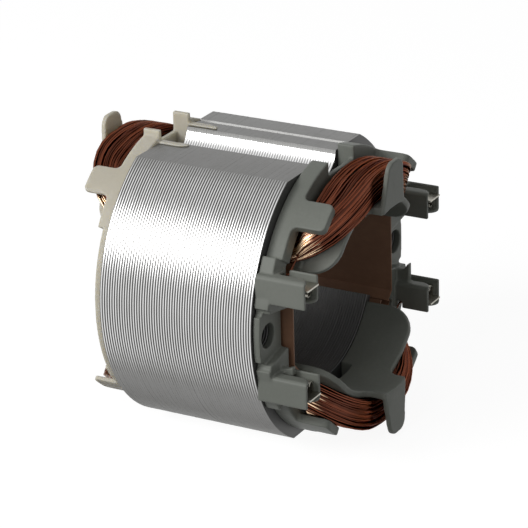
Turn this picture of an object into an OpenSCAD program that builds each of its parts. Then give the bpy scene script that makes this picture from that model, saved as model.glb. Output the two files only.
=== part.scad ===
// Two-pole field stator of a small universal motor.
// X runs along the armature bore, Z through the middle of the poles, Y across the pole gaps.
// The origin is on the bore axis, half way along the lamination stack.

/* [Core] */
// Diameter of the round flanks
core_d = 55; // [50:0.5:60]
// Depth of the top and bottom flats below the round flanks
flat_step = 3.5; // [2.5:0.1:3.7]
// Length of the lamination stack
stack_len = 30; // [22:1:50]
// Thickness of the yoke outside the winding slots
yoke_t = 4.9; // [4.6:0.1:5.4]
// Angle between the tips of the two poles
pole_gap = 52; // [48:1:55]
// Thickness of a pole shoe
shoe_t = 1.6; // [1.4:0.1:1.8]
// Radial depth of the winding slots
slot_depth = 4; // [3.6:0.1:4.1]
// Angle that each pole body takes up
pole_body = 60; // [54:1:64]
// Depth of the pole gaps past the armature bore
pocket_t = 1.9; // [1.7:0.1:2.2]
// Radius of the round groove in each flat
groove_r = 4.2; // [3.6:0.1:4.4]
// Height of the groove's centre over the flat
groove_rise = 0.6; // [0.2:0.1:1.2]
// Distance of the seam notch from the middle of its flat
notch_y = 8.2; // [8:0.1:11]
// Width of the seam notch
notch_w = 1; // [0.6:0.1:1.6]
// Depth of the seam notch
notch_d = 0.8; // [0.4:0.1:1.2]
// Diameter of the two screw holes
screw_d = 4.4; // [3.6:0.1:4.6]
// Wall between a screw hole and the edge of its side plate
screw_edge = 0.8; // [0.5:0.1:1.1]

/* [End frames] */
// Thickness of a frame over the poles
frame_t = 3.3; // [3:0.1:4]
// Step from the flank down to the frame's rim, the coil flaps and the coil tongues
rim_step = 1.9; // [1.5:0.1:2]
// Step from the flank down to the side plates
side_step = 0.5; // [0.2:0.1:1]
// Angle that each side plate takes up
side_deg = 63; // [60:1:65]
// Thickness of the side plates
side_t = 1.35; // [1:0.05:2]
// Thickness of the pads behind the sockets
pad_t = 2.8; // [2.2:0.1:3.4]
// Angle of the screw plate between two pads
screw_plate_deg = 21; // [19:1:23]
// Radius of the relief between a pad and the screw plate
relief_r = 0.8; // [0.5:0.1:1]
// Thickness of the wall along the bore
wall_t = 1.2; // [0.9:0.05:1.3]
// Reach of the front bore walls past the stack
front_wall_h = 9.8; // [8.6:0.1:10.4]
// Reach of the rear bore walls past the stack
rear_wall_h = 8.9; // [8:0.1:10.4]
// Angle from a pole's tip to the edge of the front bore walls
front_wall_back = 4; // [2:0.5:6]
// Angle from a pole's tip to the edge of the rear bore walls
rear_wall_back = 9; // [2:0.5:10]
// Radius of the bore walls' corners
wall_corner = 5; // [3:0.2:6]
// Reach of the coil tongue in front of the stack
tongue_reach = 13.4; // [12.6:0.1:15]
// Width of a coil tongue at its root
tongue_w = 7.8; // [7.2:0.1:9.6]
// Width of a coil tongue at its tip
tongue_tip_w = 5.7; // [4.6:0.1:7]
// Height of the rear coil tongues over the rim
rear_tongue_over = 0.4; // [0.2:0.1:0.8]
// Thickness of a coil tongue
tongue_t = 0.9; // [0.8:0.05:1.2]
// Forward lean of a coil tongue
tongue_lean = 3.5; // [0:0.5:6]
// Radius of a coil tongue's corners
tongue_round = 2; // [0.8:0.1:2.2]
// Radius of the fillets beside a coil tongue's foot
foot_fillet = 1.8; // [1:0.1:2.4]
// Ledge of the foot on each side of a coil tongue
foot_ledge = 0.2; // [0.15:0.05:0.5]
// Reach of the front coil flaps past the stack
front_flap_len = 9.2; // [7:0.1:10.4]
// Reach of the rear coil flaps past the stack
rear_flap_len = 8.4; // [7:0.1:10.4]
// Thickness of the front coil flaps
front_flap_t = 1.5; // [1:0.1:1.6]
// Thickness of the rear coil flaps
rear_flap_t = 0.8; // [0.7:0.1:1.6]
// Angle from the pole's middle to the near edge of a flap
flap_start = 33; // [31:0.5:35]
// Angle that a flap takes up
flap_deg = 12; // [9:0.5:13]
// Radius of the corners at a flap's end
flap_round = 1; // [0.6:0.1:1.6]
// Radius of the fillets at a flap's root
flap_fillet = 1; // [0.6:0.1:2.6]
// Gap in the rim beside a groove
lug_gap = 9.2; // [8.8:0.1:10]
// Thickness of a rear lug
lug_t = 0.9; // [0.7:0.1:1.4]
// Height of the rear lugs over the flat
lug_h = 2.2; // [1.6:0.1:2.6]
// Length of the rear clips that lie on the flats
clip_len = 5.7; // [3:0.1:8]
// Thickness of the rear clips
clip_t = 0.4; // [0.3:0.05:0.8]
// Width of the rear clips
clip_w = 1.5; // [1:0.1:2]
// Thickness of the web across the gap in the rim
web_t = 0.9; // [0.7:0.1:1.4]
// Depth of the web's edge below the flat
web_drop = 1.3; // [0.8:0.1:1.8]

/* [Sockets] */
// Width of a terminal socket
socket_w = 5; // [4.9:0.1:5.4]
// Height of a terminal socket
socket_h = 4.9; // [4.7:0.1:5]
// Reach of the sockets in front of the stack
socket_len = 9.5; // [8.6:0.1:12]
// Wall of a terminal socket
socket_wall = 0.55; // [0.45:0.05:0.6]
// Distance of a socket's middle from the edge of the side plates
socket_inset = 3.6; // [3.2:0.1:3.7]
// Distance of a socket's middle from the plane between the poles
socket_z = 9.1; // [8.8:0.1:9.4]
// Chamfer along two edges of a terminal socket
socket_chamfer = 0.45; // [0.2:0.05:0.5]
// Length of the openings in a socket's upper and lower face
socket_mouth = 5.7; // [5.4:0.1:6]
// Width of those openings
mouth_w = 2.1; // [1.6:0.1:2.2]
// Corner radius beside those openings
mouth_round = 2; // [1:0.1:2.1]
// Width of the notch that the winding's end lies in
wire_slot = 0.8; // [0.7:0.05:0.9]
// Length of the wire hooks
hook_len = 4; // [3:0.1:5]
// Height of the wire hook on the near lower socket
near_hook_h = 0.9; // [0.6:0.1:1.6]
// Height of the wire hook on the far lower socket
far_hook_h = 3.7; // [3:0.1:4]

/* [Terminals] */
// Thickness of the terminal sheet
terminal_t = 0.3; // [0.2:0.05:0.35]
// Height of a terminal
terminal_h = 2.5; // [2.2:0.1:2.7]
// Reach of a terminal out of its socket
terminal_out = 0.4; // [0:0.1:0.8]
// Step from a terminal's end back to its rolled edges
curl_back = 1.4; // [0.6:0.1:2]

/* [Insulation] */
// Thickness of the slot liners
liner_t = 0.25; // [0.15:0.05:0.3]
// Reach of the slot liners past the stack
liner_out = 2.2; // [1:0.1:3]
// Thickness of the closing strips
strip_t = 0.25; // [0.15:0.05:0.3]
// Reach of the closing strips past the stack
strip_out = 3.35; // [2:0.05:4.5]
// Length of a closing strip's bent edges
strip_bend = 2.1; // [1.8:0.1:2.3]
// Step from the pole tips' height to the bends of a closing strip
strip_step = 2; // [1.8:0.1:2.2]

/* [Winding] */
// Reach of the end turns in front of the stack
coil_reach = 11.6; // [10:0.1:11.7]
// Corner radius of the outermost turn
coil_corner = 18; // [14:0.5:18.5]
// Swell of the end turns in front of the frames
coil_swell = 1.7; // [0.6:0.1:1.7]
// Ridges of wire across the end turns
coil_ridges = 11; // [6:1:13]
// Layers of wire in a coil
coil_layers = 5; // [3:1:6]
// Depth between two ridges
ridge_d = 0.3; // [0.1:0.05:0.4]
// Diameter of the winding's ends
wire_d = 0.6; // [0.4:0.05:0.65]

/* [Clearances] */
// Gap between a liner and the walls of its slot
liner_gap = 0.05; // [0.02:0.01:0.1]
// Gap between a coil and what surrounds it
coil_gap = 0.12; // [0.08:0.01:0.2]
// Gap between a closing strip and the yoke
strip_gap = 0.12; // [0.05:0.01:0.2]
// Room that the frames leave around the armature bore
bore_gap = 0.15; // [0.05:0.01:0.25]
// Gap between a side plate and the closing strip's pocket
side_gap = 0.5; // [0.2:0.1:0.8]
// Gap between a terminal and its socket
terminal_gap = 0.05; // [0.02:0.01:0.1]

/* [Hidden] */
$fn = 96;
far_out = 80;
half_len = stack_len / 2;
core_r = core_d / 2;
flat_z = core_r - flat_step;
slot_r = core_r - yoke_t;
shoe_r = slot_r - slot_depth;
slot_mid_r = (shoe_r + slot_r) / 2;
bore_r = shoe_r - shoe_t;
pocket_y = bore_r + pocket_t;
rim_r = core_r - rim_step;
side_r = core_r - side_step;
screw_y = side_r - screw_edge - screw_d / 2;
socket_y = side_r - socket_inset;
wall_r = bore_r + bore_gap;
wall_out_r = wall_r + wall_t;
corner_over = 0.03;
side_lap = 0.2;
cavity_w = socket_w - 2 * socket_wall;
cavity_h = socket_h - 2 * socket_wall;
notch_x = frame_t + coil_gap;
wire_x = half_len + notch_x + wire_slot / 2;
grey = "#7d837c";
ivory = "#cdc8b4";
copper = "#7a3a22";
paper = "#6d4a30";
steel = "#a9abad";
tin = "#d4d2c8";

function polar(r, a) = [r * cos(a), r * sin(a)];
function mix(a, b, t) = a + (b - a) * t;
function ease(t) = let (u = max(0, min(1, t))) u * u * (3 - 2 * u);
function arc_deg(length, r) = length / r * 180 / PI;
function arc_len(deg, r) = deg * r * PI / 180;
function both_halves(half) = concat(half, [for (i = [len(half) - 1:-1:0]) [half[i][0], -half[i][1]]]);
function round_corner(x, y, r, a0, a1) = [for (i = [0:6]) [x, y] + polar(r, mix(a0, a1, i / 6))];

// Extrudes a Y-Z outline along the bore.
module along_x(x0, length)
  translate([x0, 0, 0]) rotate([90, 0, 90]) linear_extrude(length) children();

// Repeats a solid, or an outline drawn as [Y, Z], on both sides of the pole gaps and of the poles.
module both_sides() for (s = [0, 1]) mirror([0, s, 0]) children();
module both_poles() for (s = [0, 1]) mirror([0, 0, s]) children();
module both_sides_outline() for (s = [0, 1]) mirror([s, 0]) children();
module four_quarters() both_sides() both_poles() children();
module four_quarters_outline() both_sides_outline() for (s = [0, 1]) mirror([0, s]) children();

// The wedge between two angles, and the ring sector cut by it.
module wedge(a0, a1, r = far_out)
  polygon([[0, 0], for (i = [0:4]) polar(r, mix(a0, a1, i / 4))]);

module ring_sector(r0, r1, a0, a1)
  intersection() {
    difference() {
      circle(r = r1);
      circle(r = r0);
    }
    wedge(a0, a1);
  }

module core_outline()
  intersection() {
    circle(r = core_r);
    square([2 * core_r, 2 * flat_z], center = true);
  }

// The armature bore with the two pockets between the pole tips.
module armature_void(r) {
  circle(r = r);
  both_sides_outline()
    intersection() {
      wedge(-pole_gap / 2, pole_gap / 2);
      translate([0, -core_r]) square([pocket_y, 2 * core_r]);
    }
}

// One winding slot in the quarter between +Y and +Z, with its walls moved in by inset.
module slot_outline(inset = 0) {
  inset_deg = arc_deg(inset, slot_mid_r);
  ring_sector(shoe_r + inset, slot_r - inset, pole_gap / 2 + inset_deg, 90 - pole_body / 2 - inset_deg);
}

module screw_holes() both_sides_outline() translate([screw_y, 0]) circle(d = screw_d);

module groove(r) translate([0, flat_z + groove_rise]) circle(r = r);

module seam_notch()
  translate([notch_y, flat_z])
    polygon([
      [-notch_w / 2, notch_d], [-notch_w / 2, 0], [0, -notch_d],
      [notch_w / 2, 0], [notch_w / 2, notch_d]
    ]);

module stator_core()
  color(steel)
    along_x(-half_len, stack_len)
      difference() {
        core_outline();
        armature_void(bore_r);
        four_quarters_outline() slot_outline();
        screw_holes();
        for (a = [0, 180]) rotate(a) {
          groove(groove_r);
          seam_notch();
        }
      }

// End frames, drawn for the front with x = 0 on the face of the stack. The plate over the poles
// runs side_lap degrees into each side plate, so that they are one piece.
module frame_plate()
  difference() {
    along_x(0, frame_t)
      difference() {
        circle(r = rim_r);
        armature_void(mix(wall_r, wall_out_r, 0.5));
        four_quarters_outline() slot_outline();
        both_sides_outline() wedge(side_lap - side_deg / 2, side_deg / 2 - side_lap);
      }
    groove_passage();
  }

// The passage behind the web, from the bore out to the groove, and the low edge over it.
module groove_passage()
  both_poles() {
    translate([-frame_t, -lug_gap / 2, 0]) cube([2 * frame_t - web_t, lug_gap, core_d]);
    translate([-frame_t, -lug_gap / 2, flat_z - web_drop]) cube([3 * frame_t, lug_gap, core_d]);
  }

module side_outline(a0, a1)
  difference() {
    intersection() {
      circle(r = side_r);
      wedge(a0, a1);
    }
    square([2 * (pocket_y + side_gap), 2 * core_r], center = true);
    four_quarters_outline() slot_outline();
  }

module side_plates(pads)
  both_sides()
    difference() {
      union() {
        along_x(0, side_t) side_outline(-side_deg / 2, side_deg / 2);
        if (pads) both_poles() along_x(0, pad_t) side_outline(screw_plate_deg / 2, side_deg / 2);
      }
      along_x(-1, pad_t + 2) {
        screw_holes();
        if (pads)
          for (sz = [-1, 1])
            translate(polar(side_r, sz * screw_plate_deg / 2)) circle(r = relief_r);
      }
    }

// A tab that grows out of a flat edge at base, as [X, tangent], with fillets at its root.
module tab_outline(base, length, half_w, fillet, tip)
  polygon(both_halves(concat(
    [[0, half_w + fillet]],
    round_corner(base + fillet, half_w + fillet, fillet, 180, 270),
    round_corner(length - tip, half_w - tip, tip, 90, 0)
  )));

// The wall along the bore, with round front corners, and its middle that carries the tongue.
module bore_wall(height, back) {
  edge = pole_gap / 2 + back;
  difference() {
    intersection() {
      along_x(0, tongue_reach) ring_sector(wall_r, wall_out_r, edge, 180 - edge);
      union() {
        translate([0, -core_r, 0]) cube([height, core_d, core_r]);
        linear_extrude(core_r)
          tab_outline(height, tongue_reach, tongue_w / 2 + foot_ledge, foot_fillet, tongue_t / 2);
      }
    }
    both_sides() rotate([edge, 0, 0]) wall_corner_cut(height);
    groove_passage();
  }
}

// What lies outside the round corner of a wall that stands on the X-Y plane. The round runs
// corner_over past the wall's edges, so that it crosses them.
module wall_corner_cut(height)
  translate([height - wall_corner, 0, 0])
    difference() {
      translate([0, bore_r / 2, -wall_t]) cube([2 * wall_corner, bore_r, wall_t + wall_corner]);
      translate([0, 0, wall_corner]) rotate([-90, 0, 0]) cylinder(r = wall_corner + corner_over, h = core_d);
    }

module tongue(tip_r) {
  root_z = mix(wall_r, wall_out_r, 0.3);
  height = (tip_r - root_z) / cos(tongue_lean);
  tip = round_corner(height - tongue_round, tongue_tip_w / 2 - tongue_round, tongue_round, 90, 0);
  translate([tongue_reach - tongue_t, 0, root_z]) rotate([0, tongue_lean - 90, 0])
    mirror([0, 0, 1]) linear_extrude(tongue_t) polygon(both_halves(concat([[0, tongue_w / 2]], tip)));
}

// A flap over the coil, cut from the same tube as the rim.
module flaps(length, thickness) {
  middle = 90 - flap_start - flap_deg / 2;
  half_w = rim_r * sin(flap_deg / 2);
  both_sides()
    intersection() {
      along_x(0, length) difference() {
        circle(r = rim_r);
        circle(r = rim_r - thickness);
      }
      rotate([middle - 90, 0, 0]) linear_extrude(core_r)
        tab_outline(frame_t, length, half_w, flap_fillet, flap_round);
    }
}

// A lug that stands beside the groove.
module lugs()
  both_sides()
    translate([0, lug_gap / 2, slot_r]) cube([frame_t, lug_t, flat_z + lug_h - slot_r]);

// A clip that reaches from a lug over the flat, with a slanted end.
module clips()
  both_sides()
    translate([-clip_len, lug_gap / 2, flat_z])
      linear_extrude(clip_t)
        polygon([[0, 0], [clip_len + 1, 0], [clip_len + 1, clip_w], [clip_w, clip_w], [0, clip_w / 2]]);

module front_guards()
  both_poles() {
    bore_wall(front_wall_h, front_wall_back);
    tongue(rim_r);
    flaps(front_flap_len, front_flap_t);
  }

module rear_guards()
  both_poles() {
    bore_wall(rear_wall_h, rear_wall_back);
    tongue(rim_r + rear_tongue_over);
    flaps(rear_flap_len, rear_flap_t);
    lugs();
    clips();
  }

// The four sockets are alike: half a turn brings a socket's outline back onto itself.
module each_socket()
  for (sy = [-1, 1], sz = [-1, 1]) translate([0, sy * socket_y, sz * socket_z]) children();

module socket_shell() {
  y = socket_w / 2;
  z = socket_h / 2;
  c = socket_chamfer;
  along_x(0, socket_len) polygon([[-y, -z], [y - c, -z], [y, c - z], [y, z], [c - y, z], [-y, z - c]]);
}

module socket_hollow() {
  translate([pad_t, -cavity_w / 2, -cavity_h / 2]) cube([socket_len, cavity_w, cavity_h]);
  for (a = [0, 180]) rotate([a, 0, 0]) mouth();
}

// The opening along the +Y side of a socket's upper face, past a strip with a round corner.
module mouth() {
  side_y = cavity_w / 2;
  strip_y = side_y - mouth_w;
  corner_y = strip_y - mouth_round;
  start_x = socket_len - socket_mouth;
  linear_extrude(socket_h)
    polygon(concat(
      [[start_x, side_y], [start_x, strip_y]],
      round_corner(socket_len - mouth_round, corner_y, mouth_round, 90, 0),
      [[2 * socket_len, corner_y], [2 * socket_len, side_y]]
    ));
}

// The notch through a socket's inner wall, in the quarter between +Y and +Z.
module wire_notch()
  translate([notch_x, socket_y - socket_w, socket_z + cavity_h / 2 - wire_slot])
    cube([wire_slot, socket_w, socket_h]);

// A finger that guides the winding's end, on the upper face of the far lower socket.
module wire_hook(height)
  translate([side_t, socket_y - socket_wall, socket_h / 2 - socket_z])
    rotate([90, 0, 0])
      linear_extrude(2 * socket_wall)
        polygon([
          [0, -socket_wall], [hook_len, -socket_wall], [hook_len, height],
          [0.9 * hook_len, 0.95 * height], [0.72 * hook_len, 0.65 * height],
          [0.52 * hook_len, 0.6 * height], [0.32 * hook_len, 0.7 * height], [0, 0.7 * height]
        ]);

module front_frame()
  color(grey)
    translate([half_len, 0, 0]) {
      difference() {
        union() {
          frame_plate();
          side_plates(true);
          front_guards();
          each_socket() socket_shell();
        }
        each_socket() socket_hollow();
        four_quarters() wire_notch();
      }
      wire_hook(far_hook_h);
      mirror([0, 1, 0]) wire_hook(near_hook_h);
    }

module rear_frame()
  color(ivory)
    mirror([1, 0, 0]) translate([half_len, 0, 0]) {
      frame_plate();
      side_plates(false);
      rear_guards();
    }

// Insulation in the slots and over the pole gaps.
module liner(sy, sz)
  color(paper)
    mirror([0, sy, 0]) mirror([0, 0, sz])
      along_x(-half_len - liner_out, stack_len + 2 * liner_out)
        difference() {
          slot_outline(liner_gap);
          slot_outline(liner_gap + liner_t);
          wedge(0, pole_gap / 2 + arc_deg(liner_gap + 2 * liner_t, slot_mid_r), slot_mid_r + liner_t);
        }

module strip(sy) {
  out_y = pocket_y - strip_gap;
  in_y = out_y - strip_t;
  bend_z = pocket_y * tan(pole_gap / 2) - strip_step;
  miter = strip_t * tan(22.5);
  run = strip_bend * sin(45);
  lap = strip_t * sin(45);
  half = [
    [in_y, bend_z], [in_y - run, bend_z + run],
    [in_y - run + lap, bend_z + run + lap], [out_y, bend_z + miter]
  ];
  color(paper)
    mirror([0, sy, 0])
      along_x(-half_len - strip_out, stack_len + 2 * strip_out)
        polygon(concat(half, [for (i = [3:-1:0]) [half[i][0], -half[i][1]]]));
}

// Coils: each is swept around its pole as nested turns, laid out on a cylinder of radius slot_mid_r.
coil_in_s = arc_len(pole_body / 2, slot_mid_r) + liner_gap + liner_t + coil_gap;
coil_out_s = arc_len(90 - pole_gap / 2, slot_mid_r) - strip_bend * 0.6;
coil_in_x = half_len + frame_t + coil_gap;
coil_out_x = half_len + coil_reach;
slot_wall = liner_gap + liner_t + coil_gap;
coil_slot_in_r = shoe_r + slot_wall;
coil_slot_out_r = slot_r - slot_wall;
coil_end_in_r = wall_out_r + coil_gap;
corner_steps = 8;

// A quarter of one turn, from the middle of its slot to the middle of its end, as [s, x].
function quarter_turn(b) =
  let (
    s = mix(coil_in_s, coil_out_s, b),
    x = mix(coil_in_x, coil_out_x, b),
    c = mix(3 * coil_gap, coil_corner, b)
  )
  concat(
    [[s, 0], [s, (x - c) / 2]],
    [for (i = [0:corner_steps])
      let (a = 90 * i / corner_steps) [s - c + c * cos(a), x - c + c * sin(a)]],
    [for (i = [1:3]) [(s - c) * (1 - i / 3), x]]
  );

quarter_n = corner_steps + 6;
turn_n = 4 * (quarter_n - 1);

// Point k of the whole turn: the quarter is mirrored from quadrant to quadrant.
function turn_point(q, k) =
  let (
    m = quarter_n - 1,
    quadrant = floor(k / m),
    i = k % m,
    p = quadrant % 2 == 0 ? q[i] : q[m - i]
  )
  [quadrant == 0 || quadrant == 3 ? p[0] : -p[0], quadrant < 2 ? p[1] : -p[1]];

// Radius of the winding's inner and outer face at a place on the turn.
function coil_floor(x) =
  mix(coil_slot_in_r, coil_end_in_r, ease((abs(x) - half_len - frame_t) / 1.5));
function coil_roof(x) =
  coil_slot_out_r + coil_swell * ease((abs(x) - half_len - frame_t - 2 * coil_gap) / 1.2);

// Outline of the wire bundle as [layer, turn, depth]: two plain faces and two ridged ones.
coil_section = concat(
  [for (i = [0:4]) [0, i / 5, 0]],
  [for (i = [0:2 * coil_layers]) [i / (2 * coil_layers), 1, i % 2]],
  [for (i = [1:2 * coil_ridges]) [1, 1 - i / (2 * coil_ridges), i % 2]],
  [[0.5, 0, 0]]
);

function coil_point(turns, j, k) =
  let (
    c = coil_section[j],
    p = turn_point(turns[j], k),
    r0 = coil_floor(p[1]),
    r1 = coil_roof(p[1]) - (c[0] == 1 ? c[2] * ridge_d : 0),
    r = mix(r0, r1, c[0]),
    a = arc_deg(p[0], slot_mid_r)
  )
  [p[1], r * sin(a), r * cos(a)];

module coil() {
  n = len(coil_section);
  width = coil_out_x - coil_in_x;
  turns = [for (c = coil_section)
    let (side = c[0] > 0 && c[0] < 1 && c[1] == 1)
    quarter_turn(side ? 1 - c[2] * ridge_d / width : c[1])];
  points = [for (k = [0:turn_n - 1], j = [0:n - 1]) coil_point(turns, j, k)];
  faces = [for (k = [0:turn_n - 1], j = [0:n - 1])
    let (k2 = (k + 1) % turn_n, j2 = (j + 1) % n)
    each [
      [k * n + j, k2 * n + j, k2 * n + j2],
      [k * n + j, k2 * n + j2, k * n + j2]
    ]];
  polyhedron(points = points, faces = faces);
}

// A straight length of wire between two points.
module wire(p, q) {
  d = q - p;
  translate(p) rotate([0, acos(d[2] / norm(d)), atan2(d[1], d[0])]) cylinder(d = wire_d, h = norm(d));
}

// The winding's end, from the outermost turn through the notch of its socket.
module coil_end() {
  wire_z = socket_z + cavity_h / 2 - wire_slot / 2;
  bend = [wire_x, socket_y - socket_w / 2 - 0.4, wire_z];
  start = [wire_x, slot_mid_r * sin(46), slot_mid_r * cos(46)];
  wire(start, bend);
  translate(bend) sphere(d = 1.1 * wire_d);
  wire(bend, [wire_x, socket_y, wire_z]);
}

module wound_coil()
  color(copper) {
    coil();
    both_sides() coil_end();
  }

module upper_coil() wound_coil();
module lower_coil() mirror([0, 0, 1]) wound_coil();

// A receptacle terminal: a flat plate with two edges rolled in, lying in its socket.
terminal_w = cavity_w - 2 * terminal_gap;
terminal_top = cavity_h / 2 - wire_slot - terminal_gap;

module terminal_plate()
  translate([-terminal_w / 2, terminal_top - terminal_t]) square([terminal_w, terminal_t]);

module terminal_curls() {
  curl_r = terminal_h / 3;
  curl_z = terminal_top - terminal_h + curl_r;
  both_sides_outline() {
    translate([terminal_w / 2 - terminal_t, curl_z]) square([terminal_t, terminal_top - curl_z]);
    translate([terminal_w / 2 - curl_r, curl_z])
      difference() {
        circle(r = curl_r);
        circle(r = curl_r - terminal_t);
        translate([-curl_r * 2, 0]) square([curl_r * 2, curl_r]);
        square([curl_r - terminal_t, curl_r]);
      }
  }
}

module terminal(sy, sz) {
  back_x = half_len + pad_t + terminal_gap;
  plate_len = socket_len + terminal_out - pad_t - terminal_gap;
  color(tin)
    mirror([0, sy, 0]) mirror([0, 0, sz])
      translate([0, socket_y, socket_z]) {
        along_x(back_x, plate_len) terminal_plate();
        along_x(back_x, plate_len - curl_back) terminal_curls();
      }
}

stator_core();
front_frame();
rear_frame();
upper_coil();
lower_coil();
liner(1, 0);  // liner_upper_near
liner(0, 0);  // liner_upper_far
liner(1, 1);  // liner_lower_near
liner(0, 1);  // liner_lower_far
strip(1);  // strip_near
strip(0);  // strip_far
terminal(1, 0);  // terminal_upper_near
terminal(0, 0);  // terminal_upper_far
terminal(1, 1);  // terminal_lower_near
terminal(0, 1);  // terminal_lower_far
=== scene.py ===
import math
import random
import bmesh
import bpy
from mathutils import Matrix, Vector
from mathutils.geometry import tessellate_polygon


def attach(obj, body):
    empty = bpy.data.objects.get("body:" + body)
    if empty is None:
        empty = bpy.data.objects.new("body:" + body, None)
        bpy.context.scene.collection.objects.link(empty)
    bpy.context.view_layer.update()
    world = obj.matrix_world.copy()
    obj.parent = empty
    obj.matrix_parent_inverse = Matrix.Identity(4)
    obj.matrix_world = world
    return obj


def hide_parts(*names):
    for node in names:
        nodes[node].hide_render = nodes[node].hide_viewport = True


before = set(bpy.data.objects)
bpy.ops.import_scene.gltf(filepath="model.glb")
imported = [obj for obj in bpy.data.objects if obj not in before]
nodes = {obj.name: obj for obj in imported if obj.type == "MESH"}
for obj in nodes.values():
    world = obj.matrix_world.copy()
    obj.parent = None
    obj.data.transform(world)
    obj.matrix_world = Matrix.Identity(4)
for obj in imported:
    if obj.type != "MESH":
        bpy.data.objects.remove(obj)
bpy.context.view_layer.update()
mm = 0.001
print("frame loaded:", len(nodes), "nodes")

# camera at the photograph's angle, sizes in mm and pixels
cameraView = {
    "azimuth": 29.488, "elevation": 21.967, "roll": -1.605, "distance": 500.48,
    "focalPixels": 2800.4, "imagePixels": 528, "offsetX": -2.009, "offsetY": -1.406,
    "sensor": 36, "clipMetres": (0.01, 20),
}


def makeCamera(v):
    az, el, roll = (math.radians(v[k]) for k in ("azimuth", "elevation", "roll"))
    back = Vector((math.sin(az) * math.cos(el), -math.cos(az) * math.cos(el), math.sin(el)))
    right = Vector((math.cos(az), math.sin(az), 0))
    up = back.cross(right)
    side = right * math.cos(roll) + up * math.sin(roll)
    top = up * math.cos(roll) - right * math.sin(roll)
    spot = (back * v["distance"] - side * v["offsetX"] - top * v["offsetY"]) * mm
    data = bpy.data.cameras.new("camera")
    data.sensor_width = v["sensor"]
    data.lens = v["focalPixels"] / v["imagePixels"] * v["sensor"]
    data.clip_start, data.clip_end = v["clipMetres"]
    cam = bpy.data.objects.new("camera", data)
    turn = Matrix((side, top, back)).transposed().to_4x4()
    cam.matrix_world = Matrix.Translation(spot) @ turn
    bpy.context.scene.collection.objects.link(cam)
    bpy.context.scene.camera = cam


makeCamera(cameraView)
print("camera placed")


# a shader socket that can stand in sums
class Tone:
    def __init__(self, tree, socket=None):
        self.tree, self.socket = tree, socket

    def make(self, kind, settings=None, inputs=None, out=0):
        node = self.tree.nodes.new(kind)
        for name, value in (settings or {}).items():
            if name == "stops":
                ramp = node.color_ramp.elements
                while len(ramp) < len(value):
                    ramp.new(0.5)
                for stop, (position, colour) in zip(ramp, value):
                    stop.position, stop.color = position, (*colour, 1)
            else:
                setattr(node, name, value)
        for name, value in (inputs or {}).items():
            if isinstance(value, Tone):
                self.tree.links.new(value.socket, node.inputs[name])
            else:
                node.inputs[name].default_value = value
        return Tone(self.tree, node.outputs[out])

    def math(self, operation, a, b):
        return self.make("ShaderNodeMath", {"operation": operation}, {0: a, 1: b})

    def __add__(self, other):
        return self.math("ADD", self, other)

    def __radd__(self, other):
        return self.math("ADD", other, self)

    def __sub__(self, other):
        return self.math("SUBTRACT", self, other)

    def __rsub__(self, other):
        return self.math("SUBTRACT", other, self)

    def __mul__(self, other):
        return self.math("MULTIPLY", self, other)

    def __rmul__(self, other):
        return self.math("MULTIPLY", other, self)

    def limit(self, low, high):  # the part between two values, as 0 to 1
        return self.make("ShaderNodeMapRange", {"interpolation_type": "SMOOTHSTEP"},
                         {"Value": self, "From Min": low, "From Max": high})

    # a Mix node's colours are its inputs 6 and 7 and its output 2
    def between(self, first, second):  # colour mixed by this value
        return self.make("ShaderNodeMix", {"data_type": "RGBA"}, {0: self, 6: first, 7: second}, 2)

    def times(self, other):  # two colours multiplied
        return self.make("ShaderNodeMix", {"data_type": "RGBA", "blend_type": "MULTIPLY"},
                         {0: 1.0, 6: self, 7: other}, 2)

    def noise(self, scale, detail, stretch=(1, 1, 1)):
        spot = self.make("ShaderNodeTexCoord", out="Object")
        laid = self.make("ShaderNodeMapping", {}, {"Vector": spot, "Scale": stretch})
        return self.make("ShaderNodeTexNoise", {}, {"Vector": laid, "Scale": scale, "Detail": detail})

    def attribute(self, name):
        return self.make("ShaderNodeAttribute", {"attribute_name": name}, out="Fac")


def shared(first, second, share):  # two tones as one, by the first one's share
    return first * share + second * (1 - share)


def startMaterial(name):
    material = bpy.data.materials.new(name)
    material.use_nodes = True
    tree = material.node_tree
    return material, Tone(tree), tree.nodes["Principled BSDF"]


socketNames = {
    "colour": "Base Color", "roughness": "Roughness", "metallic": "Metallic", "normal": "Normal",
    "coat": "Coat Weight", "coatRoughness": "Coat Roughness", "edge": "Specular Tint",
    "specular": "Specular IOR Level", "subsurface": "Subsurface Weight",
    "subsurfaceRadius": "Subsurface Radius", "subsurfaceScale": "Subsurface Scale",
}


def feed(shader, **inputs):  # links or constants on the shader's own sockets
    for key, value in inputs.items():
        socket = shader.inputs[socketNames[key]]
        if isinstance(value, Tone):
            value.tree.links.new(value.socket, socket)
        else:
            socket.default_value = value


def bumpFrom(tone, height, strength, distance):
    return tone.make("ShaderNodeBump", {},
                     {"Strength": strength, "Distance": distance, "Height": height})


# noise is given as scale and detail, a bump as strength and distance in metres

# laminated steel: bright sheet edges, duller flats, dark lines between the sheets
steelLook = {
    "grain": (900, 2, (1.5, 0.25, 0.25)), "cloud": (90, 4), "scuff": (420, 5), "scuffRange": (0.55, 0.75),
    "shades": [(0.0, (0.085, 0.085, 0.085)), (0.25, (0.115, 0.115, 0.113)),
               (0.5, (0.15, 0.149, 0.144)), (1.0, (0.9, 0.9, 0.905))],
    "grainShare": 0.6, "patinaRange": (0.25, 0.75),
    "patina": ((0.88, 0.88, 0.87, 1), (1.0, 1.0, 1.0, 1)),
    "rough": 0.46, "glossCut": 0.22, "grainRough": 0.08, "scuffRough": 0.05,
    "cloudHeight": 0.5, "bump": (0.1, 0.00003),
}


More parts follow.
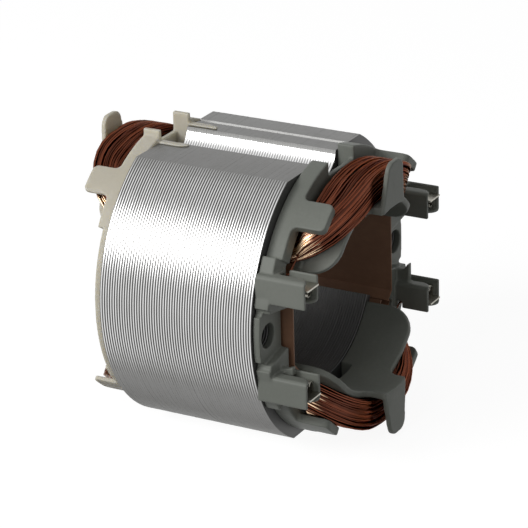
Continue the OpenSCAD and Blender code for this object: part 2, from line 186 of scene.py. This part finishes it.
def sheetSteel(k):
    material, t, shader = startMaterial("laminatedSteel")
    shine, gloss = t.attribute("edgeShine"), t.attribute("edgeGloss")
    grain, cloud = t.noise(*k["grain"]), t.noise(*k["cloud"])
    scuff = t.noise(*k["scuff"]).limit(*k["scuffRange"])
    # the edge tone carries the sheet lines, painted shade on the lower flank and the inner walls, and a
    # painted sheen near the flank's top
    level = t.make("ShaderNodeValToRGB", {"stops": k["shades"]}, {"Fac": shine})
    patina = shared(grain, cloud, k["grainShare"]).limit(*k["patinaRange"]).between(*k["patina"])
    feed(shader, colour=level.times(patina), metallic=1.0,
         roughness=k["rough"] - gloss * k["glossCut"] + grain * k["grainRough"] + scuff * k["scuffRough"],
         normal=bumpFrom(t, grain + cloud * k["cloudHeight"], *k["bump"]))
    return material


# moulded plastic, glow being the share of light that enters it
plasticLook = {
    "cloud": (55, 4), "speck": (1900, 2), "wear": (260, 5), "wearRange": (0.58, 0.72),
    "cloudShare": 0.8, "tintRange": (0.3, 0.7), "rough": 0.45, "cloudRough": 0.12, "wearRough": 0.08,
    "bump": (0.08, 0.00005), "glowRadius": (1.0, 0.92, 0.7), "glowScale": 0.002, "specular": 0.25,
}
greyShade = {"dark": (0.16, 0.17, 0.15, 1), "pale": (0.2, 0.21, 0.187, 1), "glow": 0.0}
ivoryShade = {"dark": (0.52, 0.485, 0.4, 1), "pale": (0.6, 0.565, 0.475, 1), "glow": 0.7}


def mouldedPlastic(name, shade, k):
    material, t, shader = startMaterial(name)
    cloud, speck = t.noise(*k["cloud"]), t.noise(*k["speck"])
    wear = t.noise(*k["wear"]).limit(*k["wearRange"])
    tint = shared(cloud, speck, k["cloudShare"]).limit(*k["tintRange"])
    feed(shader, colour=tint.between(shade["dark"], shade["pale"]),
         roughness=k["rough"] + cloud * k["cloudRough"] + wear * k["wearRough"],
         normal=bumpFrom(t, speck + cloud, *k["bump"]), specular=k["specular"],
         subsurface=shade["glow"], subsurfaceRadius=k["glowRadius"], subsurfaceScale=k["glowScale"])
    return material


# enamelled copper, with a painted cream highlight on the strands near the slot mouths
copperLook = {
    "cloud": (140, 3), "streak": (700, 2), "turnShare": 0.6, "baseRange": (0.0, 1.0),
    "base": ((0.05, 0.014, 0.007, 1), (0.19, 0.055, 0.027, 1)),
    "streakGlint": 0.4, "glintDrop": 0.2, "paintedGlintRange": (0.2, 0.8), "paintedGlint": (1.0, 0.72, 0.48, 1),
    "edge": (0.5, 0.38, 0.3, 1), "rough": 0.15, "streakRough": 0.12,
    "coat": 0.3, "coatRough": 0.08, "bump": (0.06, 0.00003),
}


def enamelledCopper(k):
    material, t, shader = startMaterial("enamelledCopper")
    turn, glintSpot = t.attribute("turnTone"), t.attribute("rubTone")
    cloud, streak = t.noise(*k["cloud"]), t.noise(*k["streak"])
    base = shared(turn, cloud, k["turnShare"]).limit(*k["baseRange"]).between(*k["base"])
    # painted highlight: strands near the slot mouths turn cream, standing for the lamp's glint on them
    paintedGlint = (glintSpot + streak * k["streakGlint"] - k["glintDrop"]).limit(*k["paintedGlintRange"])
    feed(shader, colour=paintedGlint.between(base, k["paintedGlint"]), metallic=1.0, edge=k["edge"],
         roughness=k["rough"] + streak * k["streakRough"],
         coat=cloud * k["coat"], coatRoughness=k["coatRough"], normal=bumpFrom(t, streak, *k["bump"]))
    return material


# brown slot paper
paperLook = {
    "fibre": (1400, 4, (0.35, 1, 1)), "cloud": (80, 4), "fibreShare": 0.3, "tintRange": (0.3, 0.7),
    "tint": ((0.18, 0.088, 0.048, 1), (0.24, 0.127, 0.072, 1)),
    "rough": 0.5, "fibreRough": 0.2, "bump": (0.2, 0.00004),
}


def slotPaper(k):
    material, t, shader = startMaterial("slotPaper")
    fibre, cloud = t.noise(*k["fibre"]), t.noise(*k["cloud"])
    tint = shared(fibre, cloud, k["fibreShare"]).limit(*k["tintRange"])
    feed(shader, colour=tint.between(*k["tint"]), roughness=k["rough"] + fibre * k["fibreRough"],
         normal=bumpFrom(t, fibre, *k["bump"]))
    return material


# tinned brass of the terminals
tinLook = {
    "grain": (1500, 3, (0.3, 1, 1)), "cloud": (350, 3), "tintRange": (0.3, 0.7),
    "tint": ((0.34, 0.33, 0.285, 1), (0.48, 0.465, 0.41, 1)),
    "rough": 0.28, "grainRough": 0.16, "bump": (0.1, 0.00003),
}


def tinnedContact(k):
    material, t, shader = startMaterial("tinnedContact")
    grain, cloud = t.noise(*k["grain"]), t.noise(*k["cloud"])
    feed(shader, colour=cloud.limit(*k["tintRange"]).between(*k["tint"]), metallic=1.0,
         roughness=k["rough"] + grain * k["grainRough"], normal=bumpFrom(t, grain, *k["bump"]))
    return material


steel = sheetSteel(steelLook)
greyPlastic = mouldedPlastic("greyPlastic", greyShade, plasticLook)
ivoryPlastic = mouldedPlastic("ivoryPlastic", ivoryShade, plasticLook)
copper = enamelledCopper(copperLook)
paper = slotPaper(paperLook)
tin = tinnedContact(tinLook)
print("materials mixed")


def mix(a, b, t):
    return a + (b - a) * t


def ease(t):
    u = max(0.0, min(1.0, t))
    return u * u * (3 - 2 * u)


def polar(r, degrees):
    return (r * math.cos(math.radians(degrees)), r * math.sin(math.radians(degrees)))


def arc(r, start, end, steps, centre=(0, 0)):
    points = (polar(r, start + (end - start) * i / steps) for i in range(steps + 1))
    return [(centre[0] + y, centre[1] + z) for y, z in points]


def plainMesh(obj):  # modifiers become a plain mesh
    deps = bpy.context.evaluated_depsgraph_get()
    done = bpy.data.meshes.new_from_object(obj.evaluated_get(deps))
    old = obj.data
    obj.modifiers.clear()
    obj.data = done
    bpy.data.meshes.remove(old)
    return obj


def place(name, mesh):
    obj = bpy.data.objects.new(name, mesh)
    bpy.context.scene.collection.objects.link(obj)
    return obj


def handOver(obj, material, slot, *replaced):
    obj.data.transform(Matrix.Scale(mm, 4))
    obj.data.materials.clear()
    obj.data.materials.append(material)
    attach(obj, "root")
    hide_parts(*replaced)
    print(obj.name, "made:", sum(len(p.vertices) - 2 for p in obj.data.polygons), "triangles")


def startTree(name, inputs):  # Geometry Nodes tree with named inputs
    tree = bpy.data.node_groups.new(name, "GeometryNodeTree")
    tree.interface.new_socket("Geometry", in_out="INPUT", socket_type="NodeSocketGeometry")
    for title, kind in inputs.items():
        tree.interface.new_socket(title, in_out="INPUT", socket_type=kind)
    tree.interface.new_socket("Geometry", in_out="OUTPUT", socket_type="NodeSocketGeometry")
    return tree, tree.nodes.new("NodeGroupInput"), tree.nodes.new("NodeGroupOutput")


def endTree(tree, start, end, shape):  # real geometry with its material
    real = tree.nodes.new("GeometryNodeRealizeInstances")
    paint = tree.nodes.new("GeometryNodeSetMaterial")
    tree.links.new(shape, real.inputs[0])
    tree.links.new(real.outputs[0], paint.inputs["Geometry"])
    tree.links.new(start.outputs["Finish"], paint.inputs["Material"])
    tree.links.new(paint.outputs[0], end.inputs[0])
    return tree


def runTree(obj, tree, values):
    modifier = obj.modifiers.new(tree.name, "NODES")
    modifier.node_group = tree
    for item in tree.interface.items_tree:
        if item.in_out == "INPUT" and item.name in values:
            modifier[item.identifier] = values[item.name]
    return plainMesh(obj)


# lamination stack, sizes in mm and degrees
stackSize = {
    "flankR": 27.5, "flatZ": 24.0, "boreR": 17.0, "shoeR": 18.6, "slotR": 22.6, "pocketY": 18.9,
    "gap": 26.0, "slotEnd": 60.0, "grooveR": 4.2, "grooveRise": 0.6,
    "notchY": 8.2, "notchWidth": 1.0, "notchDepth": 0.8, "screwY": 24.0, "screwR": 2.2,
    "flankSteps": 40, "grooveSteps": 16, "slotSteps": 6, "boreSteps": 16, "screwSteps": 20,
    "sheets": 60, "length": 30.0, "air": 0.012, "shake": 0.01, "seed": 4,
    "land": 0.032, "slope": 0.238, "dip": 0.12, "chamfer": 0.115, "fineChamfer": 0.02,
    # the flank's fade ranges and tones are painted light: the sheet lines fade towards the bottom and the
    # top where light would fill them, painted shade darkens the lower flank and a painted sheen lightens
    # its top
    "onFlank": 0.01, "midTone": 0.5, "paintedFadeBelow": (-28, -10), "paintedFadeAbove": (51, 64),
    "paintedShadeAndSheen": (0.47, 0.56, 0.6), "paintedShadeBelow": (-55, -24), "flatShine": 0.56, "channel": (0.4, 0.8),
    # the walls of the bore, slots and screw holes take dark steel tones: painted shade for the recesses
    "boreCut": 0.45, "paintedBoreShade": (0.2, 0.05), "boreGloss": 0.2, "faceShine": 0.2, "faceGloss": 0.0,
    "faceTurn": 0.9, "sharpFrom": 35,
}


def sheetLoops(s):
    corner = math.degrees(math.asin(s["flatZ"] / s["flankR"]))
    dip = math.degrees(math.asin(s["grooveRise"] / s["grooveR"]))
    half = arc(s["flankR"], -corner, corner, s["flankSteps"])
    half += [(s["notchY"] + s["notchWidth"] / 2, s["flatZ"]), (s["notchY"], s["flatZ"] - s["notchDepth"]),
             (s["notchY"] - s["notchWidth"] / 2, s["flatZ"])]
    half += arc(s["grooveR"], -dip, dip - 180, s["grooveSteps"], (0, s["flatZ"] + s["grooveRise"]))
    outer = half + [(-y, -z) for y, z in half]
    gap, end = s["gap"], s["slotEnd"]
    quarter = [(s["pocketY"], 0), (s["pocketY"], s["pocketY"] * math.tan(math.radians(gap)))]
    quarter += arc(s["slotR"], gap, end, s["slotSteps"]) + arc(s["shoeR"], end, gap, s["slotSteps"])
    quarter += arc(s["boreR"], gap, 90, s["boreSteps"])
    upper = quarter + [(-y, z) for y, z in reversed(quarter[1:-1])]
    inner = upper + [(-y, -z) for y, z in upper]
    holes = [arc(s["screwR"], 0, 360, s["screwSteps"], (side * s["screwY"], 0))[:-1] for side in (1, -1)]
    return [outer, inner, *holes]


def shrunk(loop, amounts):  # loop moved towards its left side
    moved = []
    for i, (p, amount) in enumerate(zip(loop, amounts)):
        before, here, after = Vector(loop[i - 1]), Vector(p), Vector(loop[(i + 1) % len(loop)])
        a, b = (here - before).normalized(), (after - here).normalized()
        normal = Vector((-a.y, a.x)) + Vector((-b.y, b.x))
        moved.append(tuple(here + normal.normalized() * amount))
    return moved


# at point a of the segment a to b: swing of the line between sheets, and its middle tone
def edgeCut(s, loop, a, b):
    if loop > 0:
        return s["boreCut"], s["midTone"]
    # on the flank the lines between sheets fade out towards the bottom and the top: painted light,
    # standing for light that fills them there
    if all(math.hypot(*p) > s["flankR"] - s["onFlank"] for p in (a, b)):
        angle = math.degrees(math.atan2(a[1], abs(a[0])))
        (b0, b1), (a0, a1), (d0, d1) = s["paintedFadeBelow"], s["paintedFadeAbove"], s["paintedShadeBelow"]
        low, side, high = s["paintedShadeAndSheen"]
        fade = ease((angle - b0) / (b1 - b0)) * (1 - ease((angle - a0) / (a1 - a0)))
        # middle tone: painted shade, darker towards the bottom of the flank, and a painted sheen,
        # lighter, near its top
        paintedTone = high if angle > 0 else mix(low, side, ease((angle - d0) / (d1 - d0)))
        return fade, mix(paintedTone, s["midTone"], fade)
    inside = all(abs(p[0]) < s["grooveR"] and abs(p[1]) < s["flatZ"] for p in (a, b))
    return s["channel"] if inside else (0.0, s["flatShine"])


# across a sheet's edge, as (x of each point, share of the inset, shine)
def sheetRings(s, loop, half, edge):
    if loop == 0:
        steps = [(s["land"], 0, 1), (s["slope"], s["dip"], 0), (half, 1, 0)]
        right = [([x] * len(edge), share, bright) for x, share, bright in steps]
    else:
        right = [([half - e for e in edge], 0, 1), ([half] * len(edge), 1, 0)]
    return [([-x for x in xs], share, bright) for xs, share, bright in reversed(right)] + right


def sheetMesh(s, verts, faces, tones):
    mesh = bpy.data.meshes.new("sheet")
    mesh.from_pydata(verts, [], faces)
    for name, values in tones.items():
        mesh.attributes.new(name, "FLOAT", "CORNER").data.foreach_set("value", values)
    work = bmesh.new()
    work.from_mesh(mesh)
    bmesh.ops.recalc_face_normals(work, faces=work.faces)
    for e in work.edges:
        capped = any(abs(f.normal.x) > s["faceTurn"] for f in e.link_faces)
        e.smooth = not capped and e.calc_face_angle(0) < math.radians(s["sharpFrom"])
    for f in work.faces:
        f.smooth = True
    work.to_mesh(mesh)
    work.free()
    return mesh


def oneSheet(s):
    half = (s["length"] / s["sheets"] - s["air"]) / 2
    verts, faces, shine, gloss, caps, ends = [], [], [], [], ([], []), []
    for i, full in enumerate(sheetLoops(s)):
        n, rings = len(full), []
        pairs = list(zip(full, full[1:] + full[:1]))
        cuts = [(edgeCut(s, i, p, q), edgeCut(s, i, q, p)) for p, q in pairs]
        edge = [mix(s["fineChamfer"], s["chamfer"], max(cuts[j][0][0], cuts[j - 1][1][0]))
                for j in range(n)]
        across = sheetRings(s, i, half, edge)
        for xs, share, bright in across:
            rings.append(len(verts))
            ring = shrunk(full, [share * (e if i == 0 else -e) for e in edge])
            verts += [(x, y, z) for x, (y, z) in zip(xs, ring)]
        ends.append(ring)
        for band in range(len(rings) - 1):
            low, high = rings[band], rings[band + 1]
            flat = across[band][2] and across[band + 1][2]
            for j in range(n):
                k = (j + 1) % n
                faces.append((low + j, low + k, high + k, high + j))
                for spot, side in ((0, band), (1, band), (1, band + 1), (0, band + 1)):
                    depth, middle = cuts[j][spot]
                    # inner walls take the dark bore tones, painted shade for the recesses
                    shine.append(middle + depth * (across[side][2] - 0.5) if i == 0 else
                                 s["paintedBoreShade"][0 if flat else 1])
                    gloss.append(min(1, 2 * depth) if i == 0 else s["boreGloss"])
        caps[0].extend(range(rings[0], rings[0] + n))
        caps[1].extend(range(rings[-1], rings[-1] + n))
    cut = tessellate_polygon([[Vector((y, z, 0)) for y, z in loop] for loop in ends])
    for indices in caps:
        faces += [tuple(indices[i] for i in tri) for tri in cut]
        shine += [s["faceShine"]] * len(cut) * 3
        gloss += [s["faceGloss"]] * len(cut) * 3
    return sheetMesh(s, verts, faces, {"edgeShine": shine, "edgeGloss": gloss})


def stackTree():
    tree, start, end = startTree("sheetStack", {
        "Sheets": "NodeSocketInt", "Pitch": "NodeSocketFloat", "First": "NodeSocketFloat",
        "Shake": "NodeSocketFloat", "Seed": "NodeSocketInt", "Finish": "NodeSocketMaterial"})
    add, link = tree.nodes.new, tree.links.new
    line, copies = add("GeometryNodeMeshLine"), add("GeometryNodeInstanceOnPoints")
    step, first, reach = (add("ShaderNodeCombineXYZ") for i in range(3))
    link(start.outputs["Pitch"], step.inputs[0])
    link(start.outputs["First"], first.inputs[0])
    link(start.outputs["Sheets"], line.inputs["Count"])
    link(first.outputs[0], line.inputs["Start Location"])
    link(step.outputs[0], line.inputs["Offset"])
    chance, move, back = (add("FunctionNodeRandomValue"), add("GeometryNodeSetPosition"),
                          add("ShaderNodeVectorMath"))
    chance.data_type, back.operation = "FLOAT_VECTOR", "SCALE"
    back.inputs["Scale"].default_value = -1
    for axis in (1, 2):
        link(start.outputs["Shake"], reach.inputs[axis])
    link(reach.outputs[0], back.inputs[0])
    link(back.outputs[0], chance.inputs["Min"])
    link(reach.outputs[0], chance.inputs["Max"])
    link(start.outputs["Seed"], chance.inputs["Seed"])
    link(line.outputs[0], move.inputs["Geometry"])
    link(chance.outputs[0], move.inputs["Offset"])
    link(move.outputs[0], copies.inputs["Points"])
    link(start.outputs["Geometry"], copies.inputs["Instance"])
    return endTree(tree, start, end, copies.outputs[0])


def makeStack(s):
    pitch = s["length"] / s["sheets"]
    stack = place("laminationStack", oneSheet(s))
    runTree(stack, stackTree(), {
        "Sheets": s["sheets"], "Pitch": pitch, "First": (pitch - s["length"]) / 2,
        "Shake": s["shake"], "Seed": s["seed"], "Finish": steel})
    handOver(stack, steel, "laminated_steel", "stator_core")


makeStack(stackSize)


# end frames: the moulded solids with their edges rounded, sizes in mm
frameFinish = {"weld": 0.0005, "voxel": 0.17, "smooth": 0.5, "rounds": 5, "keep": 150000}


def softened(name, node, f):
    mesh = nodes[node].data.copy()
    mesh.transform(Matrix.Scale(1 / mm, 4))
    work = bmesh.new()
    work.from_mesh(mesh)
    bmesh.ops.remove_doubles(work, verts=work.verts, dist=f["weld"])
    work.to_mesh(mesh)
    work.free()
    obj = place(name, mesh)
    remesh = obj.modifiers.new("remesh", "REMESH")
    remesh.mode, remesh.voxel_size, remesh.use_smooth_shade = "VOXEL", f["voxel"], True
    smooth = obj.modifiers.new("smooth", "SMOOTH")
    smooth.factor, smooth.iterations = f["smooth"], f["rounds"]
    plainMesh(obj)
    thin = obj.modifiers.new("thin", "DECIMATE")
    thin.ratio = min(1, f["keep"] / (2 * len(obj.data.polygons)))
    plainMesh(obj)
    for p in obj.data.polygons:
        p.use_smooth = True
    return obj


handOver(softened("frontFrame", "front_frame", frameFinish), greyPlastic, "grey_plastic", "front_frame")
handOver(softened("rearFrame", "rear_frame", frameFinish), ivoryPlastic, "ivory_plastic", "rear_frame")


# coils: turns of wire laid around each pole, on a cylinder of radius midR, sizes in mm
coilSize = {
    "midR": 20.6, "inS": 11.206, "outS": 21.75, "inX": 18.42, "outX": 26.6,
    "inCorner": 0.4, "frontCorner": 16.0, "rearCorner": 18.5, "runSteps": 4, "cornerSteps": 12,
    "slotFloor": 19.02, "slotRoof": 22.18, "endFloor": 18.47, "endRoof": 23.88,
    "floorFrom": 18.3, "floorOver": 1.5, "roofFrom": 18.54, "roofOver": 1.2,
    "across": 22, "layers": 14, "wire": 0.32, "sides": 8, "fillerIn": 0.75,
    "upperSeed": 11, "lowerSeed": 12, "waves": (2, 3, 5, 8), "waveSize": (0.4, 1),
    "wavePhase": (0, 6.28), "wander": 0.6, "lift": 0.4, "liftOver": 3,
    # the last line places the painted highlight at the slot mouths: its strength range per strand, where
    # it lies along x and how far round the turn
    "paintedGlint": (-0.4, 1.3), "glintX": 19.3, "glintLong": 4.0, "glintFrom": 11.0, "glintOver": 3.0,
}


def turnPath(c, across):  # one turn laid flat, as (s, x), front end first
    s, x = (mix(c["in" + k], c["out" + k], across) for k in ("S", "X"))
    run, bend = c["runSteps"], c["cornerSteps"]
    loop = []
    for end, name in ((1, "frontCorner"), (-1, "rearCorner")):
        corner = mix(c["inCorner"], c[name], across)
        quarter = [(s, (x - corner) * i / run) for i in range(run)]
        quarter += [(s - corner + corner * math.cos(a), x - corner + corner * math.sin(a))
                    for a in (math.pi / 2 * i / bend for i in range(bend + 1))]
        quarter += [((s - corner) * (1 - i / run), x) for i in range(1, run + 1)]
        half = quarter + [(-ps, px) for ps, px in reversed(quarter[:-1])]
        loop += [(end * ps, end * px) for ps, px in half[:-1]]
    return loop


def turnSpot(c, s, x, layer, inset):
    floor = mix(c["slotFloor"], c["endFloor"], ease((abs(x) - c["floorFrom"]) / c["floorOver"]))
    roof = mix(c["slotRoof"], c["endRoof"], ease((abs(x) - c["roofFrom"]) / c["roofOver"]))
    r = mix(floor + inset, roof - inset, layer)
    return (x, r * math.sin(s / c["midR"]), r * math.cos(s / c["midR"]))


def turnGrid(c):  # the two outermost rings of the bundle's section
    spots = []
    for ring in (0, 1):
        n, m = c["across"] - 2 * ring, c["layers"] - 2 * ring
        low, deep = ring / (c["across"] - 1), ring / (c["layers"] - 1)
        for i in range(n):
            for j in range(m):
                if i in (0, n - 1) or j in (0, m - 1):
                    spots.append((mix(low, 1 - low, i / (n - 1)), mix(deep, 1 - deep, j / (m - 1))))
    return spots


def windingLines(c, seed):  # each strand as its points, closed or not, its tone and where its painted highlight lies
    chance = random.Random(seed)
    lines = []
    width = c["outX"] - c["inX"]
    margin = c["wire"] / 2 / width
    count = len(turnPath(c, 0))
    for across, layer in turnGrid(c):
        waves = [[(k, chance.uniform(*c["waveSize"]) / k, chance.uniform(*c["wavePhase"]))
                  for k in c["waves"]] for i in (0, 1)]
        tone, paintedGlint = chance.random(), max(0.0, chance.uniform(*c["paintedGlint"]))
        points, glintSpots = [], []
        for i in range(count):
            turn = 2 * math.pi * i / count
            sway, rise = (sum(a * math.sin(k * turn + phase) for k, a, phase in w) for w in waves)
            spot = max(0.0, min(1.0, across + sway * c["wander"] / width))
            high = max(0.0, min(1.0, layer + rise * c["lift"] / c["liftOver"]))
            s, x = turnPath(c, mix(margin, 1 - margin, spot))[i]
            points.append(turnSpot(c, s, x, high, c["wire"] / 2))
            # painted highlight on the strands near the slot mouths: around a given x, on the sides of
            # each turn
            near = max(0.0, 1 - abs(abs(x) - c["glintX"]) / c["glintLong"])
            glintSpots.append(paintedGlint * near * ease((abs(s) - c["glintFrom"]) / c["glintOver"]))
        lines.append((points, True, tone, glintSpots))
    return lines


# winding ends, from the bundle across the sockets
leadSize = {
    "x": 18.82, "startAngle": 46, "bendY": 20.5, "z": 10.6, "endY": 23.4, "wayOut": 0.6,
    "beforeBend": (0.12, 0.2), "afterBend": 0.2, "tone": 0.35,
}


def leadLines(c, d):
    lines = []
    x, bendY, endY, low = d["x"], d["bendY"], d["endY"], d["z"]
    back, up = d["beforeBend"]
    for side in (1, -1):
        y, z = (c["midR"] * f(math.radians(d["startAngle"])) for f in (math.sin, math.cos))
        points = [(x, y, z), (x, mix(y, bendY, d["wayOut"]), mix(z, low, d["wayOut"])),
                  (x, bendY - back, low + up), (x, bendY + d["afterBend"], low),
                  (x, mix(bendY, endY, 0.5), low), (x, endY, low)]
        sided = [(px, side * py, pz) for px, py, pz in points]
        lines.append((sided, False, d["tone"], [0.0] * len(points)))
    return lines


def fillerMesh(c):  # inside of the bundle under the strands, kept at the dark end of the strand tones as painted shade
    low, deep = c["fillerIn"] / (c["across"] - 1), c["fillerIn"] / (c["layers"] - 1)
    section = [(low, deep), (1 - low, deep), (1 - low, 1 - deep), (low, 1 - deep)]
    paths = [turnPath(c, across) for across, layer in section]
    n = len(paths[0])
    verts = [turnSpot(c, *paths[j][i], section[j][1], 0) for i in range(n) for j in range(4)]
    faces = []
    for i in range(n):
        here, after = 4 * i, 4 * ((i + 1) % n)
        faces += [(here + j, after + j, after + (j + 1) % 4, here + (j + 1) % 4) for j in range(4)]
    return verts, faces


def wireTree():
    tree, start, end = startTree("wireTurns", {
        "Wire Radius": "NodeSocketFloat", "Sides": "NodeSocketInt", "Finish": "NodeSocketMaterial"})
    add, link = tree.nodes.new, tree.links.new
    curve, ring, tube = (add("GeometryNodeMeshToCurve"), add("GeometryNodeCurvePrimitiveCircle"),
                         add("GeometryNodeCurveToMesh"))
    link(start.outputs["Geometry"], curve.inputs[0])
    link(start.outputs["Wire Radius"], ring.inputs["Radius"])
    link(start.outputs["Sides"], ring.inputs["Resolution"])
    link(curve.outputs[0], tube.inputs["Curve"])
    link(ring.outputs[0], tube.inputs["Profile Curve"])
    tube.inputs["Fill Caps"].default_value = True
    return endTree(tree, start, end, tube.outputs[0])


def makeCoil(name, node, flip, seed, tree, c):
    verts, edges, tones, paintedGlint = [], [], [], []
    for points, closed, tone, glintSpots in windingLines(c, seed) + leadLines(c, leadSize):
        first, n = len(verts), len(points)
        verts += points
        tones += [tone] * n
        paintedGlint += glintSpots
        edges += [(first + i, first + (i + 1) % n) for i in range(n if closed else n - 1)]
    mesh = bpy.data.meshes.new(name)
    mesh.from_pydata(verts, edges, [])
    # the first attribute is each strand's own tone, the second its painted highlight near the slot mouths
    for attribute, values in (("turnTone", tones), ("rubTone", paintedGlint)):
        mesh.attributes.new(attribute, "FLOAT", "POINT").data.foreach_set("value", values)
    coil = runTree(place(name, mesh), tree,
                   {"Wire Radius": c["wire"] / 2, "Sides": c["sides"], "Finish": copper})
    work = bmesh.new()
    work.from_mesh(coil.data)
    inside, faces = fillerMesh(c)
    made = [work.verts.new(v) for v in inside]
    for f in faces:
        work.faces.new([made[i] for i in f])
    bmesh.ops.scale(work, vec=(1, 1, flip), verts=work.verts)
    bmesh.ops.recalc_face_normals(work, faces=work.faces)
    for f in work.faces:
        f.smooth = True
    work.to_mesh(coil.data)
    work.free()
    handOver(coil, copper, "enamelled_wire", node)


wires = wireTree()
makeCoil("upperCoil", "upper_coil", 1, coilSize["upperSeed"], wires, coilSize)
makeCoil("lowerCoil", "lower_coil", -1, coilSize["lowerSeed"], wires, coilSize)

# papers and terminals keep their solids
solidFinish = {"liner": paper, "strip": paper, "terminal": tin}
for name, obj in nodes.items():
    finish = solidFinish.get(name.split("_")[0])
    if finish:
        obj.data.materials.clear()
        obj.data.materials.append(finish)
print("papers and terminals finished")

# studio, sizes in metres, ambient and seen from the horizon to the zenith
studio = {
    "key": {"from": (-0.456, -0.733, 0.504), "far": 0.6, "size": (0.28, 0.25), "power": 2.0},
    "kicker": {"from": (0.0, -0.85, 0.53), "far": 0.6, "size": (0.12, 0.2), "power": 0.45},
    "fill": {"from": (0.85, -0.45, 0.35), "far": 0.8, "size": (0.5, 0.5), "power": 0.1},
    "ambient": (0.34, 0.2), "seen": (1.0, 0.95), "riseRange": (0.1, 0.9),
    "floorBelow": -0.02625, "floorHalf": 4, "floorGlow": 0.92, "floorColour": 0.18,
}


def makeLamp(name, lamp):
    data = bpy.data.lights.new(name, "AREA")
    data.shape, (data.size, data.size_y), data.energy = "RECTANGLE", lamp["size"], lamp["power"]
    obj = bpy.data.objects.new(name, data)
    away = Vector(lamp["from"]).normalized()
    obj.location = away * lamp["far"]
    obj.rotation_euler = away.to_track_quat("Z", "Y").to_euler()
    bpy.context.scene.collection.objects.link(obj)


def grey(level):
    return (level, level, level, 1)


def seenRay(t):  # 1 on rays that show the background
    sockets = t.make("ShaderNodeLightPath").socket.node.outputs
    camera, glossy, through = (Tone(t.tree, sockets[k]) for k in
                               ("Is Camera Ray", "Is Glossy Ray", "Is Transmission Ray"))
    return t.math("MINIMUM", camera + glossy + through, 1)


def makeWorld(s):
    world = bpy.data.worlds.new("studio")
    world.use_nodes = True
    bpy.context.scene.world = world
    t = Tone(world.node_tree)
    background = world.node_tree.nodes["Background"]
    way = t.make("ShaderNodeSeparateXYZ", {}, {0: t.make("ShaderNodeTexCoord")}, "Z")
    rise = way.limit(*s["riseRange"])
    lit, shown = (rise.between(*(grey(level) for level in s[k])) for k in ("ambient", "seen"))
    t.tree.links.new(seenRay(t).between(lit, shown).socket, background.inputs["Color"])


def makeFloor(s):
    mesh = bpy.data.meshes.new("floor")
    h = s["floorHalf"]
    corners = ((-h, -h), (h, -h), (h, h), (-h, h))
    mesh.from_pydata([(x, y, s["floorBelow"]) for x, y in corners], [], [(0, 1, 2, 3)])
    floor = place("floor", mesh)
    material, t, shader = startMaterial("paleFloor")
    t.tree.nodes.remove(shader)
    glow = t.make("ShaderNodeEmission", {}, {"Color": grey(1), "Strength": seenRay(t) * s["floorGlow"]})
    matt = t.make("ShaderNodeBsdfDiffuse", {}, {"Color": grey(s["floorColour"])})
    both = t.make("ShaderNodeAddShader", {}, {0: glow, 1: matt})
    t.tree.links.new(both.socket, t.tree.nodes["Material Output"].inputs["Surface"])
    mesh.materials.append(material)


for lamp in ("key", "kicker", "fill"):
    makeLamp(lamp + "Lamp", studio[lamp])
makeWorld(studio)
makeFloor(studio)
bpy.context.scene.view_settings.view_transform = "Standard"
print("studio lit")
